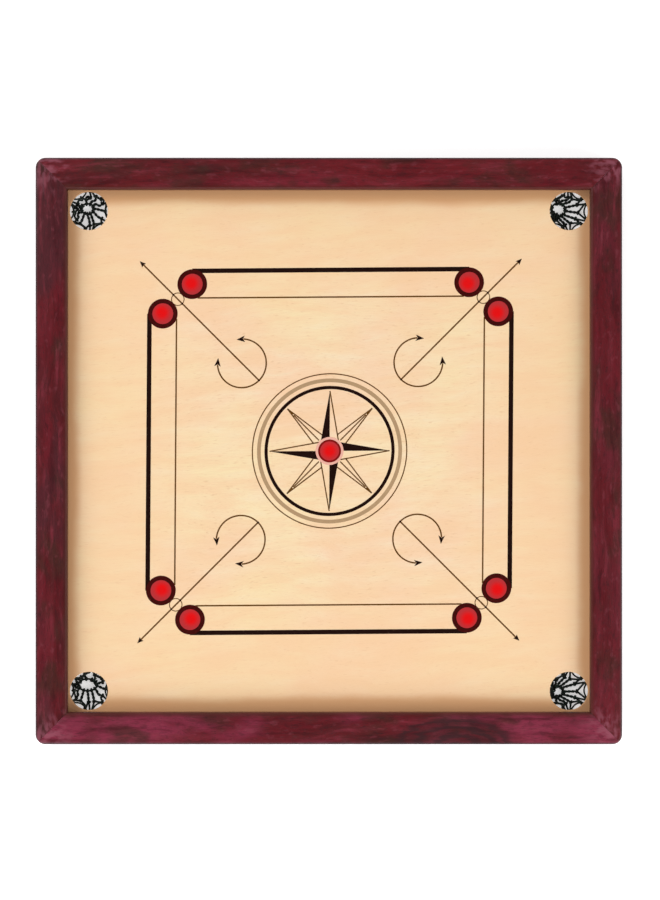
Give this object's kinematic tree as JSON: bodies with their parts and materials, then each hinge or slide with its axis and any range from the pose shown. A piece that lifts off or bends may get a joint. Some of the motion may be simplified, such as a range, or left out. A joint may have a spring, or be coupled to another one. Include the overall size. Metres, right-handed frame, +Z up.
{
  "type": "carrom board",
  "caption": "Square wooden carrom board: plywood playing bed with corner pockets and corded nets, framed by raised mitred hardwood rails and braced by crossed battens.",
  "frame": {"origin": "middle of the board's underside, at the level that it rests on", "axes": "+Z up out of the playing surface, -Y towards the front rail, +X towards the right rail"},
  "size_m": [0.66, 0.66, 0.038],
  "materials": {
    "rail_wood": "purple-brown stained hardwood under a satin varnish",
    "bed_ply": "pale figured birch-faced plywood, polished and lacquered",
    "batten_wood": "sawn unfinished softwood",
    "nail_steel": "bright wire nails, slightly dulled",
    "tack_steel": "blued tacks",
    "net_cord": "twisted dark green-black cotton cord"
  },
  "bodies": {
    "root": {"batten_across": "batten_wood", "batten_along": "batten_wood", "batten_nail_back": "nail_steel", "batten_nail_front": "nail_steel", "batten_nail_left": "nail_steel", "batten_nail_right": "nail_steel", "bed_nail_back_1": "nail_steel", "bed_nail_back_2": "nail_steel", "bed_nail_back_3": "nail_steel", "bed_nail_front_1": "nail_steel", "bed_nail_front_2": "nail_steel", "bed_nail_front_3": "nail_steel", "bed_nail_left_1": "nail_steel", "bed_nail_left_2": "nail_steel", "bed_nail_left_3": "nail_steel", "bed_nail_right_1": "nail_steel", "bed_nail_right_2": "nail_steel", "bed_nail_right_3": "nail_steel", "mitre_nail_back_left_high": "nail_steel", "mitre_nail_back_left_low": "nail_steel", "mitre_nail_front_right_high": "nail_steel", "mitre_nail_front_right_low": "nail_steel", "mitre_nail_left_front_high": "nail_steel", "mitre_nail_left_front_low": "nail_steel", "mitre_nail_right_back_high": "nail_steel", "mitre_nail_right_back_low": "nail_steel", "net_tack_back_left_1": "tack_steel", "net_tack_back_left_2": "tack_steel", "net_tack_back_left_3": "tack_steel", "net_tack_back_left_4": "tack_steel", "net_tack_back_left_5": "tack_steel", "net_tack_back_left_6": "tack_steel", "net_tack_back_right_1": "tack_steel", "net_tack_back_right_2": "tack_steel", "net_tack_back_right_3": "tack_steel", "net_tack_back_right_4": "tack_steel", "net_tack_back_right_5": "tack_steel", "net_tack_back_right_6": "tack_steel", "net_tack_front_left_1": "tack_steel", "net_tack_front_left_2": "tack_steel", "net_tack_front_left_3": "tack_steel", "net_tack_front_left_4": "tack_steel", "net_tack_front_left_5": "tack_steel", "net_tack_front_left_6": "tack_steel", "net_tack_front_right_1": "tack_steel", "net_tack_front_right_2": "tack_steel", "net_tack_front_right_3": "tack_steel", "net_tack_front_right_4": "tack_steel", "net_tack_front_right_5": "tack_steel", "net_tack_front_right_6": "tack_steel", "playing_bed": "bed_ply", "pocket_net_back_left": "net_cord", "pocket_net_back_right": "net_cord", "pocket_net_front_left": "net_cord", "pocket_net_front_right": "net_cord", "rail_back": "rail_wood", "rail_front": "rail_wood", "rail_left": "rail_wood", "rail_right": "rail_wood"}
  },
  "joints": []
}
